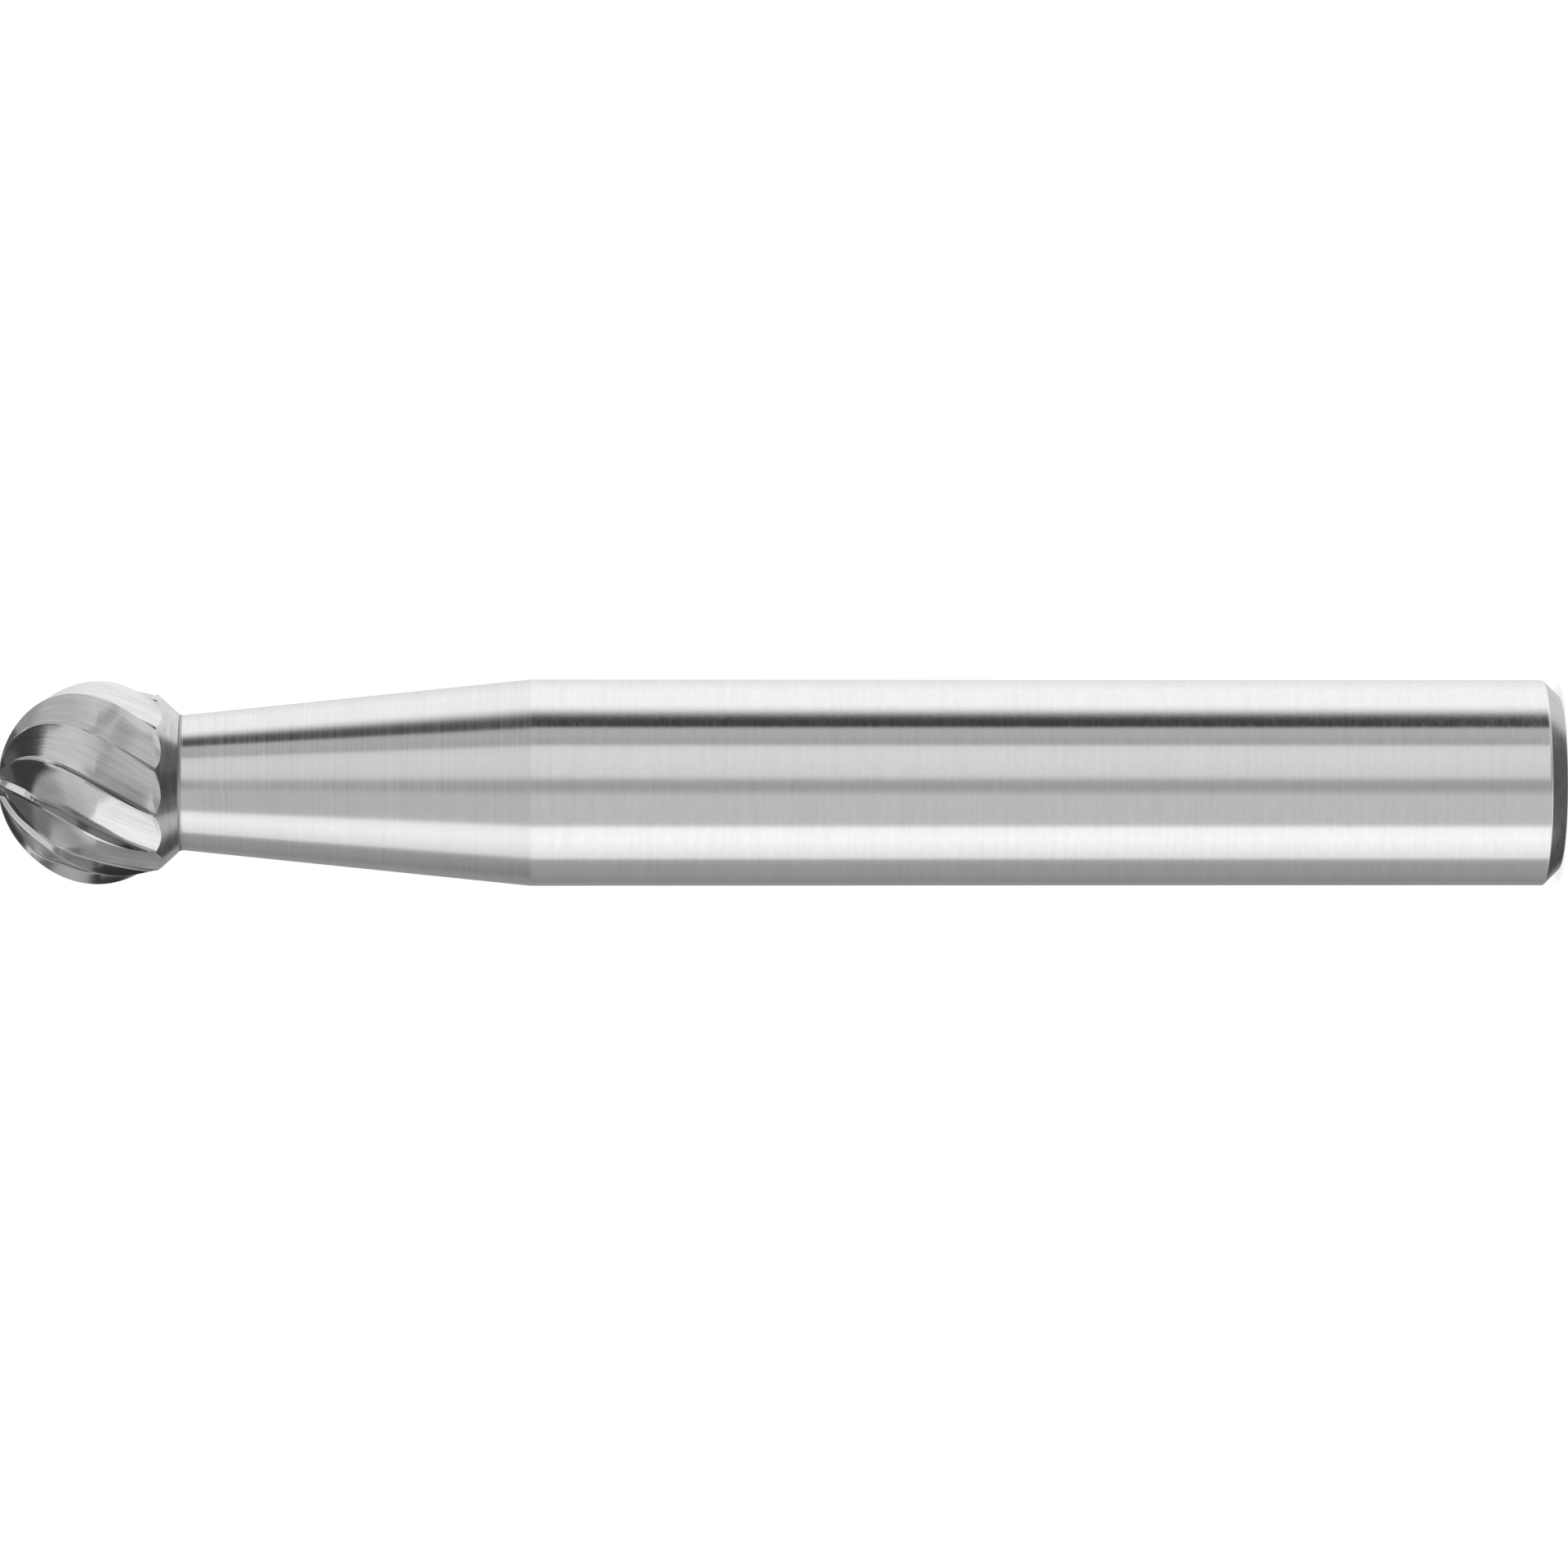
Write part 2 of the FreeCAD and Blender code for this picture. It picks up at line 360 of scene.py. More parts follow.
def pitch_angle(polar):
    """Angle from one tooth to the next across a flute, in the plane that holds the ball's centre.

    At the widest part it is the plain pitch. Nearer the tip it is shorter, because the ring is smaller, and
    the next tooth has turned a little further where the plane meets it.
    """
    distance = head_radius * (1 - np.cos(polar))
    turn = np.full_like(polar, gap)
    angle = np.radians(turn)
    for step in range(3):
        angle = np.arctan(np.sin(polar) * np.tan(np.radians(turn)))
        reached = head_radius * (1 - np.cos(polar) * np.cos(angle))
        turn = gap - spiral_turn(reached) + spiral_turn(distance)
    return angle


def eased(polar, start, length):
    """Smooth rise from 0 to 1, 3 x squared minus 2 x cubed, where x is the share of the way."""
    share = np.clip((np.degrees(polar) - start) / length, 0, 1)
    return share * share * (3 - 2 * share)


def flute_lean(polar, is_long):
    """Lean of a flute's rake face on the ball: laid back at first, then standing up."""
    if is_long:
        risen = eased(polar, long_stands_up, long_standing_run)
        return long_start_lean + (standing_lean - long_start_lean) * risen
    risen = eased(polar, short_stands_up, short_standing_run)
    return short_start_lean + (standing_lean - short_start_lean) * risen


def flute_depth(polar, pitch, is_long):
    """Depth of a flute on the ball, below nothing where it hasn't begun."""
    if is_long:
        start = (long_start_depth + start_clear) * eased(polar, tip_left_whole, tip_left_whole) - start_clear
        return start + (tooth_depth - long_start_depth) * eased(polar, long_deepens, deepening_run)
    half_width = pitch * head_radius / 2
    start = np.minimum(short_start_depth, half_width / math.tan(short_start_lean))
    return start + (tooth_depth - start) * eased(polar, short_deepens, deepening_run)


# Shares of a tooth's columns: down the rake face, round the gullet, up the back, over the land
column_counts = (3, 13, 13, 2)
tooth_columns = sum(column_counts)
column_part = np.repeat(np.arange(4), column_counts)
column_share = np.concatenate([np.arange(n) / n for n in column_counts])


def flute_section(top, pitch, depth, lean, hollow, part, share):
    """One flute cut across, as (radius, angle) for each column, in the plane across the flute.

    The rake face goes in from the cutting edge, leaning by `lean`. A circle of the gullet's radius rounds it
    into the back, which rises to the next tooth's land as a line hollowed by a parabola. Nothing stands
    outside the radius `top` of the blank.
    """
    land = np.minimum(tooth_land, widest_land_share * pitch * top)
    lift = np.maximum(0, -depth)
    foot = np.stack([(depth + lift) * np.tan(lean), top + lift - (depth + lift)], axis=-1)
    up_rake = np.stack([-np.sin(lean), np.cos(lean)], axis=-1)
    land_angle = pitch - land / top
    land_end = (top + lift)[..., None] * np.stack([np.sin(land_angle), np.cos(land_angle)], axis=-1)
    up_back = land_end - foot
    up_back /= np.linalg.norm(up_back, axis=-1, keepdims=True)
    half = np.arccos(np.clip(np.sum(up_back * up_rake, axis=-1), -1, 1)) / 2
    inset = (gullet_corner / np.tan(half))[..., None]
    middle = up_rake + up_back
    middle /= np.linalg.norm(middle, axis=-1, keepdims=True)
    centre = foot + middle * (gullet_corner / np.sin(half))[..., None]
    corner_start = foot + up_rake * inset
    corner_end = foot + up_back * inset
    back_end = land_end + up_back * (wheel_reach + top * (1 / np.cos(pitch / 2) - 1))[..., None]
    run = back_end - corner_end
    inward = np.stack([up_back[..., 1], -up_back[..., 0]], axis=-1)

    def back_at(t):
        return corner_end + run * t[..., None] + inward * (4 * hollow * t * (1 - t))[..., None]

    def polar_of(point):
        return np.linalg.norm(point, axis=-1), np.arctan2(point[..., 0], point[..., 1])

    # Where the back comes out: through the blank's surface, or at the next cutting edge if that is sooner
    low = np.full(top.shape, back_from)
    high = np.ones(top.shape)
    for step in range(halvings):
        t = (low + high) / 2
        radius, angle = polar_of(back_at(t))
        out = (radius > top) | (angle > pitch)
        high = np.where(out, t, high)
        low = np.where(out, low, t)
    back_share = high
    ridge = np.minimum(top, polar_of(back_at(high))[0])
    ridge = np.where(polar_of(back_at(high))[1] > pitch - 1e-6, ridge, top)
    edge = np.stack([np.zeros_like(ridge), ridge], axis=-1)

    start_arm = corner_start - centre
    end_arm = corner_end - centre
    sweep = math.pi - 2 * half

    def gullet_at(t):
        weight_start = np.sin((1 - t) * sweep) / np.sin(sweep)
        weight_end = np.sin(t * sweep) / np.sin(sweep)
        return centre + start_arm * weight_start[..., None] + end_arm * weight_end[..., None]

    # Where a flute is shallower than its gullet's corner, the corner itself comes out through the surface
    low = np.zeros(top.shape)
    high = np.full(top.shape, gullet_to)
    for step in range(halvings):
        t = (low + high) / 2
        out = polar_of(gullet_at(t))[0] > ridge
        low = np.where(out, t, low)
        high = np.where(out, high, t)
    gullet_first = np.where(polar_of(corner_start)[0] > ridge, high, 0)
    rake = edge + (gullet_at(gullet_first) - edge) * share[..., None]
    gullet = gullet_at(gullet_first + (1 - gullet_first) * share)
    back = back_at(share * back_share)
    part = np.broadcast_to(part, top.shape)
    point = np.where((part == 0)[..., None], rake, np.where((part == 1)[..., None], gullet, back))
    radius, angle = polar_of(point)
    back_out, back_out_angle = polar_of(back_at(back_share))
    on_land = part == 3
    radius = np.where(on_land, back_out + (ridge - back_out) * share, radius)
    radius = np.where(on_land & (ridge >= top - 1e-9), top, radius)
    angle = np.where(on_land, back_out_angle + (pitch - back_out_angle) * share, angle)
    return np.minimum(radius, np.where(part < 2, ridge, top)), np.clip(angle, 0, pitch)


def tooth_on_ball(polar, is_long, is_cut):
    """Points of one tooth on the ball, for rows at these angles from the tip."""
    angle_row = np.broadcast_to(polar[:, None], (len(polar), tooth_columns))
    top = np.full(angle_row.shape, head_radius)
    pitch = pitch_angle(np.maximum(angle_row, 1e-3))
    part = column_part[None, :]
    share = np.broadcast_to(column_share[None, :], angle_row.shape)
    radius, angle = flute_section(
        top, pitch, flute_depth(angle_row, pitch, is_long), flute_lean(angle_row, is_long),
        np.full_like(top, least_hollow), part, share)
    if not is_cut:
        radius = top
    distance = head_radius * (1 - np.cos(angle_row))
    return radius * np.sin(angle_row), head_radius - radius * np.cos(angle_row), distance, angle / pitch


def tooth_behind_ball(distance):
    """Points of one tooth behind the ball's widest part, on level rings. Its floor keeps one radius."""
    top = blank_radius(distance)
    depth = top - head_radius + tooth_depth
    hollow = least_hollow + rim_hollow * (distance - head_radius) / (rim_distance - head_radius)
    pitch = np.full_like(distance, math.radians(gap))
    part = np.broadcast_to(column_part[None, :], distance.shape)
    share = np.broadcast_to(column_share[None, :], distance.shape)
    radius, angle = flute_section(top, pitch, depth, np.full_like(top, standing_lean), hollow, part, share)
    return radius, distance, distance, angle / pitch


def flute_run_out():
    """Distance from the tip at which each column of a tooth meets the back bevel, found by halving."""
    low = np.full((1, tooth_columns), rim_distance - before_rim)
    high = np.full((1, tooth_columns), rim_distance + behind_rim)
    for step in range(halvings):
        middle = (low + high) / 2
        outside = tooth_behind_ball(middle)[0] > bevel_radius(middle)
        high = np.where(outside, middle, high)
        low = np.where(outside, low, middle)
    return high


def stack_rows(*blocks):
    """Joins blocks of rows one after the other, in each of the four arrays that a block holds."""
    return tuple(np.concatenate([block[i] for block in blocks], axis=0) for i in range(4))


# Rows from beside the axis to where the flutes start, over the ball, behind it and down the bevel
ball_row_count = 86
behind_row_count = 33
bevel_row_count = 7
beside_axis = 0.05
tip_rows = np.radians([beside_axis, tip_left_whole / 3, tip_left_whole * 2 / 3, tip_left_whole])
ball_rows = np.radians(np.linspace(tip_left_whole, 90, ball_row_count))
run_out = flute_run_out()
behind = head_radius + (run_out - head_radius) * np.linspace(0, 1, behind_row_count)[1:, None]
teeth = []
for is_long in (True, False):
    teeth.append(stack_rows(
        tooth_on_ball(tip_rows, is_long, False),
        tooth_on_ball(ball_rows, is_long, True),
        tooth_behind_ball(behind)))
rounds = []
for tooth in range(tooth_count):
    radius, distance, turned_to, share = teeth[tooth % 2]
    turn = first_tooth_turn + (tooth + share) * gap - spiral_turn(turned_to)
    rounds.append((radius, distance, turn, tooth + share))
head_radii, head_distance, head_turn, head_tooth = (
    np.concatenate([block[i] for block in rounds], axis=1) for i in range(4))

# The back bevel goes straight down its cone from where each column ran out, to the joint, and the joint's
# flat face closes the piece against the shank
bevel_share = np.linspace(0, 1, bevel_row_count)[1:, None]
bevel_distance = head_distance[-1] + (head_length - head_distance[-1]) * bevel_share
bevel_radii = head_radii[-1] + (joint_radius - head_radii[-1]) * bevel_share
bevel_turn = np.broadcast_to(head_turn[-1], bevel_distance.shape)
bevel_tooth = np.broadcast_to(head_tooth[-1], bevel_distance.shape)
on_axis = np.zeros_like(head_radii[:1])
head_radii = np.vstack([on_axis, head_radii, bevel_radii, on_axis])
head_distance = np.vstack([on_axis, head_distance, bevel_distance, on_axis + head_length])
head_turn = np.vstack([head_turn[:1], head_turn, bevel_turn, head_turn[-1:]])
head_tooth = np.vstack([head_tooth[:1], head_tooth, bevel_tooth, head_tooth[-1:]])

# The last column closes each ring on the first
head_turn = np.radians(np.concatenate([head_turn, head_turn[:, :1] + 360], axis=1))
head_radii = np.concatenate([head_radii, head_radii[:, :1]], axis=1)
head_distance = np.concatenate([head_distance, head_distance[:, :1]], axis=1)
head_tooth = np.concatenate([head_tooth, head_tooth[:, :1] + tooth_count], axis=1)
head_grid = np.stack([
    head_radii * np.cos(head_turn), head_radii * np.sin(head_turn), tool_length - head_distance], axis=2)
head_across = head_tooth * math.radians(gap) * head_radius
head = piece_from_grid("head", head_grid[::-1], head_distance[::-1], head_across[::-1], crease_degrees=11)


def along_surface(material):
    """Coordinates across the teeth and along them, in millimetres."""
    return add_node(material, "ShaderNodeUVMap", {"uv_map": "across_and_along"}).outputs[0]


teeth_ground = ground_metal(
    "ground_carbide_teeth",
    colour=(0.92, 0.92, 0.915), dark_colour=(0.55, 0.55, 0.55), roughness=(0.10, 0.19),
    lines=(along_surface, (14, 0.4, 1), 4.0, 0.7), line_depth=1.2e-6,
    blotches=(along_surface, (5, 1.0, 1)), blotch_share=0.3)
bevel_ground = ground_metal(
    "ground_carbide_bevel",
    colour=(0.88, 0.88, 0.875), dark_colour=(0.58, 0.58, 0.58), roughness=(0.15, 0.24),
    lines=(object_place, (1000, 1000, 11000)), line_depth=1.6e-6,
    blotches=(object_place, (3000, 3000, 5000)), blotch_share=0.4)

# Painted shade where a flute stands up and deepens: the colour of the rake face and the gullet's bottom is
# darkened for the shadow and dark reflections inside the flute. The shaded strip fades out across a tooth
# between two shares of its width, and fades in along a long flute between two distances from the tip, in
# millimetres. In a short flute it starts this much sooner
shade_strip_brightness = 0.42
shade_strip_across = (0.07, 0.12)
shade_strip_along = (1.55, 2.15)
shade_strip_sooner = 0.65


def math_node(material, operation, a, b=0.0):
    """Result of one sum or comparison of two values."""
    return add_node(material, "ShaderNodeMath", {"operation": operation}, i0=a, i1=b).outputs[0]


def share_of(material, length, whole):
    """Share of the way through the last of the equal lengths that `length` holds."""
    return math_node(material, "FRACT", math_node(material, "DIVIDE", length, whole))


tooth_width = math.radians(gap) * head_radius
surface = add_node(teeth_ground, "ShaderNodeSeparateXYZ", i0=along_surface(teeth_ground))
across, along = surface.outputs[:2]
in_short = math_node(teeth_ground, "GREATER_THAN", share_of(teeth_ground, across, 2 * tooth_width), 0.5)
reached = math_node(teeth_ground, "ADD", along, math_node(teeth_ground, "MULTIPLY", in_short, shade_strip_sooner))
near_edge = fade(teeth_ground, share_of(teeth_ground, across, tooth_width), *shade_strip_across, 1.0, 0.0)
shade_along_flute = fade(teeth_ground, reached, *shade_strip_along)
# Painted shade: the colour of the rake face and the gullet's bottom is darkened in this strip
paint_shade(teeth_ground, math_node(teeth_ground, "MULTIPLY", near_edge, shade_along_flute), shade_strip_brightness)

finish_by_row(head, [(0, bevel_ground), (bevel_row_count, teeth_ground)])
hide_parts("carbide_head")
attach(head, "root")

# Studio floor: a plain white sheet under the tool. It keeps the tool's shadow, and is lifted to white for the
# eye and for reflections alone.
floor_half = 3.0
floor_brightness = 0.86
floor_lift = 0.55
floor_mesh = bpy.data.meshes.new("studio_floor")
floor_corners = [(-floor_half, -floor_half, 0), (floor_half, -floor_half, 0),
                 (floor_half, floor_half, 0), (-floor_half, floor_half, 0)]
floor_mesh.from_pydata(floor_corners, [], [(0, 1, 2, 3)])
studio_floor = bpy.data.objects.new("studio_floor", floor_mesh)
bpy.context.scene.collection.objects.link(studio_floor)
studio_floor.visible_glossy = False


def seen_directly(material):
    """1 for rays looked along, straight or by way of metal or glass, and 0 for light on a surface."""
    path = add_node(material, "ShaderNodeLightPath").outputs
    either = path["Is Camera Ray"]
    for name in ("Is Glossy Ray", "Is Transmission Ray"):
        either = math_node(material, "MAXIMUM", either, path[name])
    return either


white_sheet = bpy.data.materials.new("white_sheet")
white_sheet.use_nodes = True
white_sheet.node_tree.nodes.clear()
paper = add_node(white_sheet, "ShaderNodeBsdfDiffuse", Color=(floor_brightness,) * 3 + (1,))
lift = math_node(white_sheet, "MULTIPLY", seen_directly(white_sheet), floor_lift)
glow = add_node(white_sheet, "ShaderNodeEmission", Color=(1, 1, 1, 1), Strength=lift)
both = add_node(white_sheet, "ShaderNodeAddShader", i0=paper.outputs[0], i1=glow.outputs[0])
add_node(white_sheet, "ShaderNodeOutputMaterial", i0=both.outputs[0])
floor_mesh.materials.append(white_sheet)

# Studio panels: a dome of white and grey reflectors round the tool, as the polished metal sees it. It stands
# for the panels that a photographer hangs round a shiny tool, in rows one above the other from its foot to
# its tip, and for the dark room seen past their two ends.
dome_radius = 1.2
# Brightness of the panels at each angle in degrees round the tool's axis, from the camera by way of -X. The
# shank shows a strip of the middle row and the neck most of the strip above the face row, which is the one
# between them and has no dark joint. The head shows them all
middle_row = (
    (-180, 0.66), (-153, 0.89), (-125, 1.06), (-96, 1.06), (-88, 0.74), (-82, 0.28), (-78, 0.10),
    (-74, 0.05), (-66, 0.04), (-63, 0.48), (-54, 0.46), (-44, 0.40), (-41, 0.75), (-30, 0.79),
    (-10, 0.74), (-6, 0.66), (-1, 0.40), (7, 0.38), (13, 0.54), (17, 0.58), (47, 0.57), (53, 1.08),
    (66, 1.12), (80, 1.00), (93, 0.86), (97, 0.44), (106, 0.36), (122, 0.34), (144, 0.28), (172, 0.34),
    (180, 0.62),
)
upper_row = (
    (-180, 0.35), (-165, 0.36), (-152, 0.34), (-140, 0.36), (-128, 0.44), (-118, 0.52), (-85, 0.56),
    (-75, 0.62), (-60, 0.68), (-10, 0.70), (5, 0.62), (15, 0.42), (30, 0.36), (50, 0.40), (58, 0.50),
    (64, 0.68), (80, 0.64), (100, 0.42), (112, 0.36), (118, 0.45), (124, 0.62), (135, 0.60), (150, 0.38),
    (180, 0.36),
)
face_row = (
    (-180, 0.66), (-153, 0.89), (-125, 1.06), (-96, 1.06), (-88, 0.80), (-78, 0.70), (-63, 0.64),
    (-41, 0.68), (-30, 0.72), (-10, 0.70), (-6, 0.62), (-1, 0.48), (7, 0.46), (13, 0.52), (17, 0.57),
    (47, 0.57), (53, 1.08), (66, 1.12), (78, 0.96), (86, 0.64), (92, 0.32), (106, 0.24), (124, 0.24),
    (144, 0.32), (172, 0.34), (180, 0.62),
)
rim_row = (
    (-180, 0.66), (-153, 0.89), (-125, 1.06), (-85, 1.00), (-78, 0.70), (-70, 0.62), (-46, 0.60),
    (-41, 0.50), (-35, 0.38), (-24, 0.32), (-5, 0.30), (1, 0.36), (10, 0.40), (17, 0.58), (47, 0.57),
    (53, 1.08), (66, 1.12), (80, 1.00), (93, 0.86), (98, 0.46), (122, 0.40), (144, 0.34), (172, 0.34),
    (180, 0.62),
)
lower_row = (
    (-180, 0.74), (-140, 0.86), (-95, 0.80), (-80, 0.48), (-60, 0.42), (-48, 0.42), (-36, 0.50),
    (-20, 0.54), (-6, 0.66), (5, 0.86), (20, 1.05), (46, 1.10), (60, 0.98), (90, 0.70), (100, 0.60),
    (118, 0.52), (127, 0.10), (160, 0.06), (175, 0.5), (180, 0.62),
)
# A height is a direction's share along the tool's axis, -1 behind the shank's end and 1 ahead of the tip. One
# row passes into the next between two heights, and the upper row begins this much higher behind and above
lower_to_rim = (-0.42, -0.36)
rim_to_middle = (-0.17, -0.13)
middle_to_face = (0.065, 0.085)
face_to_middle = (0.12, 0.14)
middle_to_upper = (0.24, 0.32)
upper_lift = 0.14
# The dark opening towards the shank's end: the direction of its middle, its half width in degrees, and the
# softness of its edge, as a cosine. On the camera's side, between these angles, it reaches up to this height
end_direction = Vector((0.08, 0.03, -0.996)).normalized()
end_half_width = 31
end_softness = 0.02
end_brightness = 0.13
open_side = (-53, 63)
open_side_softness = 3
open_side_height = -0.765
open_side_height_softness = 0.012
open_side_brightness = 0.07
# The white panel above the opening towards the tip. Its edges are slopes from the tool's axis, two to the
# side and two away from the camera. Three have a softness, and the far one is two slopes to fade between
tip_panel_sides = ((0.49, 0.02), (0.66, 0.03))
tip_panel_near = (-0.30, 0.05)
tip_panel_far = (0.80, 1.00)
tip_panel_heights = (0.44, 0.50)
tip_panel_brightness = 0.95
# The opening towards the tip shows the room, which is a little brighter far away. Its near edge is slanted,
# and two zones beside it are in half shade. Each zone has its side edge, the softness of that, its near edge
# and the share of brightness that is left. The last zone is the opening itself, where only the room is seen
opening_side = -0.66
opening_near = -0.44
opening_other_side = (0.46, 0.03)
opening_heights = (0.40, 0.44)
opening_slant = 0.4
opening_near_softness = 0.03
opening_zones = (
    (opening_side, 0.10, opening_near - 0.10, 0.55),
    (opening_side - 0.54, 0.30, opening_near + 0.14, 0.55),
    (opening_side, 0.10, opening_near, None),
)
room_brightness = 0.055
far_room_brightness = 0.12
far_room = (0.38, 0.60)

dome_work = bmesh.new()
bmesh.ops.create_uvsphere(dome_work, u_segments=48, v_segments=24, radius=dome_radius)
bmesh.ops.reverse_faces(dome_work, faces=dome_work.faces)
dome_mesh = bpy.data.meshes.new("studio_panels")
dome_work.to_mesh(dome_mesh)
dome_work.free()
studio_panels = bpy.data.objects.new("studio_panels", dome_mesh)
bpy.context.scene.collection.objects.link(studio_panels)
studio_panels.visible_camera = False
studio_panels.visible_diffuse = False
studio_panels.visible_shadow = False

panel_material = bpy.data.materials.new("studio_panels")
panel_material.use_nodes = True
panel_material.cycles.emission_sampling = "NONE"
panel_material.node_tree.nodes.clear()


def panel_math(operation, a, b=0.0):
    """Result of one sum or comparison of two values on the panels."""
    return math_node(panel_material, operation, a, b)


def row_of_panels(turn_share, row):
    """Brightness round the axis: straight lines between the row's values."""
    ramp = add_node(panel_material, "ShaderNodeValToRGB", i0=turn_share)
    stops = ramp.color_ramp.elements
    stops.remove(stops[-1])
    for i, (angle, brightness) in enumerate(row):
        place = (angle + 180) / 360
        stop = stops[0] if i == 0 else stops.new(place)
        stop.position = place
        stop.color = (brightness, brightness, brightness, 1)
    return ramp.outputs[0]


def between(value, heights):
    """0 before the first of the two values, 1 after the second, and smooth between."""
    return fade(panel_material, value, *heights)


def past_edge(value, edge, softness):
    """0 before an edge and 1 after it, or the other way round where the softness is negative."""
    return fade(panel_material, value, edge - softness, edge + softness)


def mixed(share, first, second):
    """The first brightness where `share` is 0 and the second where it is 1."""
    return add_node(
        panel_material, "ShaderNodeMix", {"data_type": "FLOAT"}, i0=share, i2=first, i3=second).outputs[0]


def all_of(*shares):
    """Product of the shares, so 1 only where each of them is 1."""
    product = shares[0]
    for share in shares[1:]:
        product = panel_math("MULTIPLY", product, share)
    return product


direction = add_node(
    panel_material, "ShaderNodeVectorMath", {"operation": "NORMALIZE"},
    i0=object_place(panel_material)).outputs[0]
side, away, height = add_node(panel_material, "ShaderNodeSeparateXYZ", i0=direction).outputs
turn = panel_math("ARCTAN2", panel_math("MULTIPLY", side, -1.0), panel_math("MULTIPLY", away, -1.0))
turn_share = panel_math("ADD", panel_math("DIVIDE", turn, 2 * math.pi), 0.5)
turn_degrees = panel_math("MULTIPLY", turn, math.degrees(1))

# The rows one above the other, the middle and the upper one first
behind_and_above = all_of(between(away, (0.0, 0.12)), between(side, (0.0, 0.1)))
row_height = panel_math("SUBTRACT", height, panel_math("MULTIPLY", behind_and_above, upper_lift))
brightness = mixed(
    between(row_height, middle_to_upper),
    row_of_panels(turn_share, middle_row), row_of_panels(turn_share, upper_row))
in_face_row = all_of(between(height, middle_to_face), between(height, face_to_middle[::-1]))
brightness = mixed(in_face_row, brightness, row_of_panels(turn_share, face_row))
brightness = mixed(between(height, rim_to_middle), row_of_panels(turn_share, rim_row), brightness)
brightness = mixed(between(height, lower_to_rim), row_of_panels(turn_share, lower_row), brightness)

# The opening towards the shank's end, and its further reach on the camera's side
nearness = add_node(
    panel_material, "ShaderNodeVectorMath", {"operation": "DOT_PRODUCT"},
    i0=direction, i1=end_direction).outputs["Value"]
in_end_opening = past_edge(nearness, math.cos(math.radians(end_half_width)), end_softness)
brightness = mixed(in_end_opening, brightness, end_brightness)
in_open_side = panel_math(
    "SUBTRACT", past_edge(turn_degrees, open_side[0], open_side_softness),
    past_edge(turn_degrees, open_side[1], open_side_softness))
low_enough = past_edge(height, open_side_height, -open_side_height_softness)
brightness = mixed(all_of(in_open_side, low_enough), brightness, open_side_brightness)

# The panel above the opening towards the tip, and then the opening with its two zones of half shade. A slope
# is a direction's share to one side for each share ahead, which is kept above 0
least_height = 0.001
ahead = panel_math("MAXIMUM", height, least_height)
side_slope = panel_math("DIVIDE", side, ahead)
away_slope = panel_math("DIVIDE", away, ahead)
in_tip_panel = all_of(
    past_edge(side_slope, tip_panel_sides[0][0], tip_panel_sides[0][1]),
    past_edge(side_slope, tip_panel_sides[1][0], -tip_panel_sides[1][1]),
    between(height, tip_panel_heights),
    past_edge(away_slope, *tip_panel_near),
    between(away_slope, tip_panel_far[::-1]))
brightness = mixed(in_tip_panel, brightness, tip_panel_brightness)
lower_side = panel_math("MINIMUM", side_slope, 0.0)
slanted_slope = panel_math("ADD", away_slope, panel_math("MULTIPLY", lower_side, opening_slant))
room = mixed(between(away_slope, far_room), room_brightness, far_room_brightness)
for side_edge, softness, near_edge, share_left in opening_zones:
    in_zone = all_of(
        between(height, opening_heights),
        past_edge(side_slope, side_edge, softness),
        past_edge(side_slope, opening_other_side[0], -opening_other_side[1]),
        past_edge(slanted_slope, near_edge, opening_near_softness))
    shade = room if share_left is None else panel_math("MULTIPLY", brightness, share_left)
    brightness = mixed(in_zone, brightness, shade)
glow = add_node(panel_material, "ShaderNodeEmission", Color=(1, 1, 1, 1), Strength=brightness)
add_node(panel_material, "ShaderNodeOutputMaterial", i0=glow.outputs[0])
dome_mesh.materials.append(panel_material)

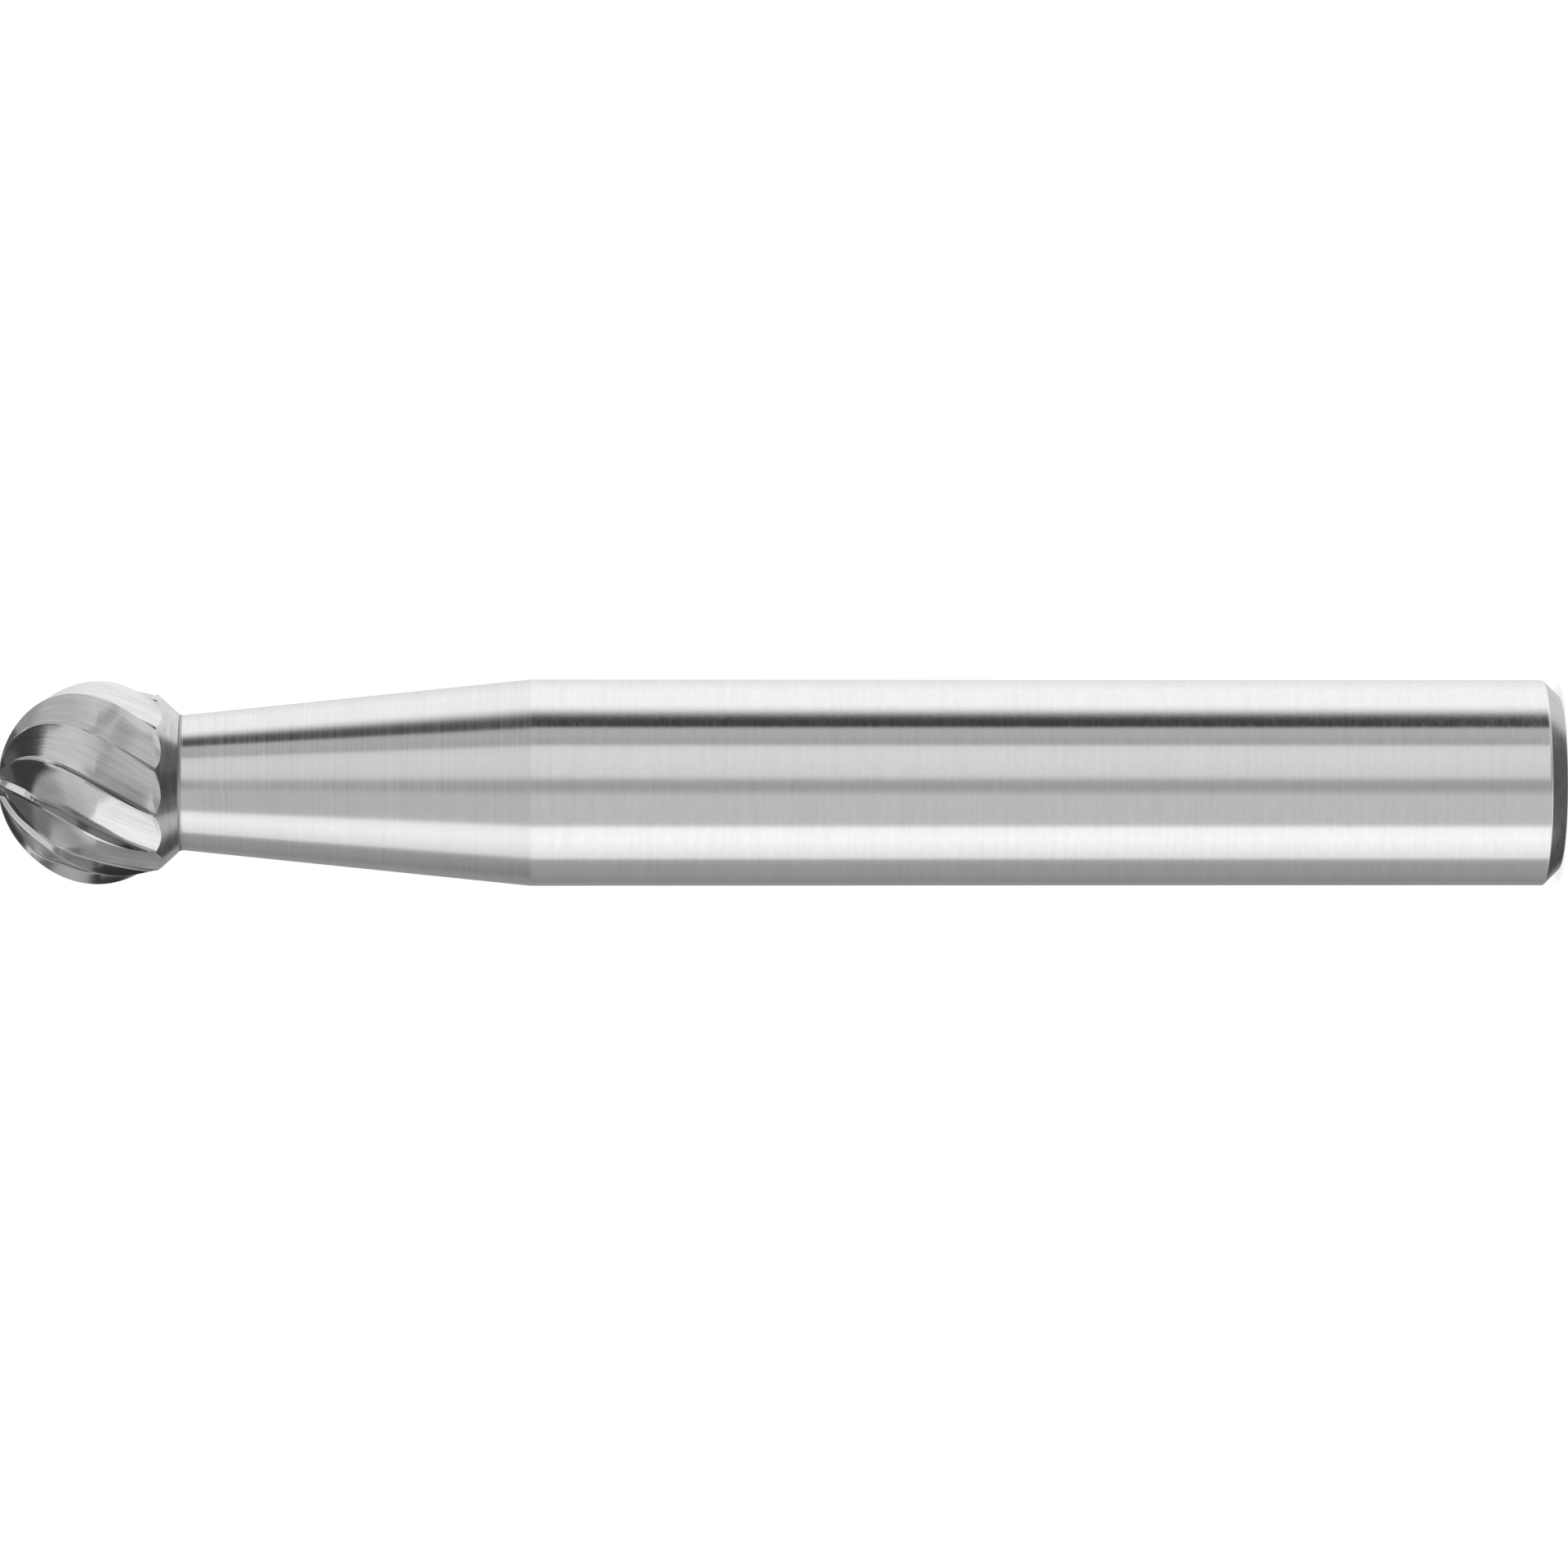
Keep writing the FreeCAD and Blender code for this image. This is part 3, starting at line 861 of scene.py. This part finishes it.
# Studio light: an even white surround, dimmer for what it lights than for an eye that looks at it, and one
# soft round lamp above the camera, which throws the tool's shadow on the floor.
surround_lighting = 0.65
lamp_size = 0.5
lamp_place = (0, -0.35, 0.75)
lamp_aim = Vector((0, 0, 0.02))
# Brightness that the lamp alone gives a white sheet turned to it at the tool's foot
lamp_share = 0.35
world = bpy.data.worlds.new("studio")
bpy.context.scene.world = world
world.use_nodes = True
surround = world.node_tree.nodes["Background"]
surround.inputs["Color"].default_value = (1, 1, 1, 1)
level = add_node(world, "ShaderNodeMapRange", i0=seen_directly(world), i3=surround_lighting, i4=1.0)
world.node_tree.links.new(level.outputs[0], surround.inputs["Strength"])

lamp_light = bpy.data.lights.new("soft_lamp", "AREA")
lamp_light.shape = "DISK"
lamp_light.size = lamp_size
soft_lamp = bpy.data.objects.new("soft_lamp", lamp_light)
bpy.context.scene.collection.objects.link(soft_lamp)
soft_lamp.location = lamp_place
lamp_light.energy = lamp_share * math.pi ** 2 * soft_lamp.location.length ** 2
soft_lamp.rotation_euler = (lamp_aim - soft_lamp.location).to_track_quat("-Z", "Y").to_euler()
soft_lamp.visible_glossy = False
soft_lamp.visible_camera = False

# Camera: level with the upper half of the tool and turned on its side, so that the head points left. It
# stands about 270 mm away, and the tool fills the picture from side to side.
pixels_per_mm = 42.05
picture_side = 1920
sensor_side = 36
tip_to_middle = 960.3 / pixels_per_mm
axis_above_middle = 0.036
camera_place = Vector((0, -268, 30.8)) * mm
camera_target = Vector((-axis_above_middle, 0, tool_length - tip_to_middle)) * mm
forward = (camera_target - camera_place).normalized()
picture_right = forward.cross(Vector((1, 0, 0))).normalized()
picture_up = picture_right.cross(forward).normalized()
lens = bpy.data.cameras.new("camera")
camera = bpy.data.objects.new("camera", lens)
bpy.context.scene.collection.objects.link(camera)
camera_turn = Matrix((picture_right, picture_up, -forward)).transposed().to_4x4()
camera.matrix_world = Matrix.Translation(camera_place) @ camera_turn
lens.sensor_width = sensor_side
picture_width = picture_side / pixels_per_mm * mm
lens.lens = sensor_side * (camera_target - camera_place).length / picture_width
lens.clip_start = 0.01
bpy.context.scene.camera = camera
bpy.context.scene.view_settings.view_transform = "Standard"
